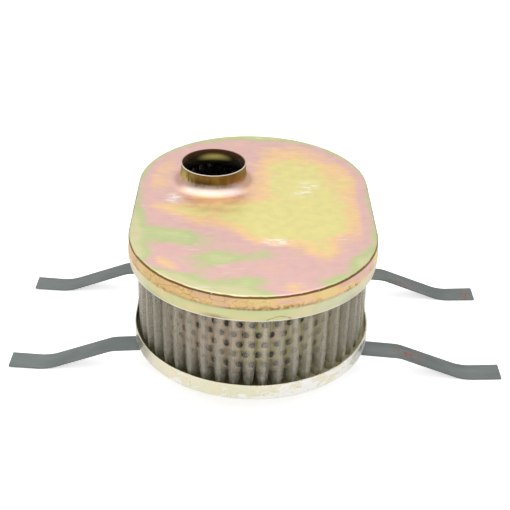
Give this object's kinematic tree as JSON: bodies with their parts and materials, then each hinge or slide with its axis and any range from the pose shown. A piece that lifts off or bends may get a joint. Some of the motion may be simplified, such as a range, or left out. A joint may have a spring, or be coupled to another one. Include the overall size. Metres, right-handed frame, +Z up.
{
  "type": "magnetic hydraulic suction filter",
  "caption": "Oval pleated-mesh suction filter between two plated steel caps, with an offset drawn neck, a magnet inside and bent leaf-spring legs under the pan.",
  "frame": {"origin": "under the middle of the pan, on the plane that the four spring feet stand on", "axes": "+Z up along the neck, +Y along the oval towards the neck's end, +X along the leaf springs"},
  "size_m": [0.2488, 0.1746, 0.0849],
  "materials": {
    "plated_steel": "yellow passivated zinc, iridescent",
    "wire_cloth": "woven stainless wire, satin",
    "core_steel": "perforated plated sheet",
    "resin": "cast resin",
    "spring_steel": "blue-grey rolled spring steel with light rust",
    "rivet_steel": "plain steel",
    "ferrite": "fired ferrite, matt"
  },
  "bodies": {
    "root": {"top_cap": "plated_steel", "bottom_pan": "plated_steel", "pleated_mesh": "wire_cloth", "mesh_seam_clip": "wire_cloth", "perforated_core": "core_steel", "top_potting": "resin", "bottom_potting": "resin", "front_leaf_spring": "spring_steel", "back_leaf_spring": "spring_steel", "front_left_rivet": "rivet_steel", "front_right_rivet": "rivet_steel", "back_left_rivet": "rivet_steel", "back_right_rivet": "rivet_steel", "lower_pole_plate": "rivet_steel", "magnet_ring": "ferrite", "upper_pole_plate": "rivet_steel", "magnet_rivet": "rivet_steel"}
  },
  "joints": []
}
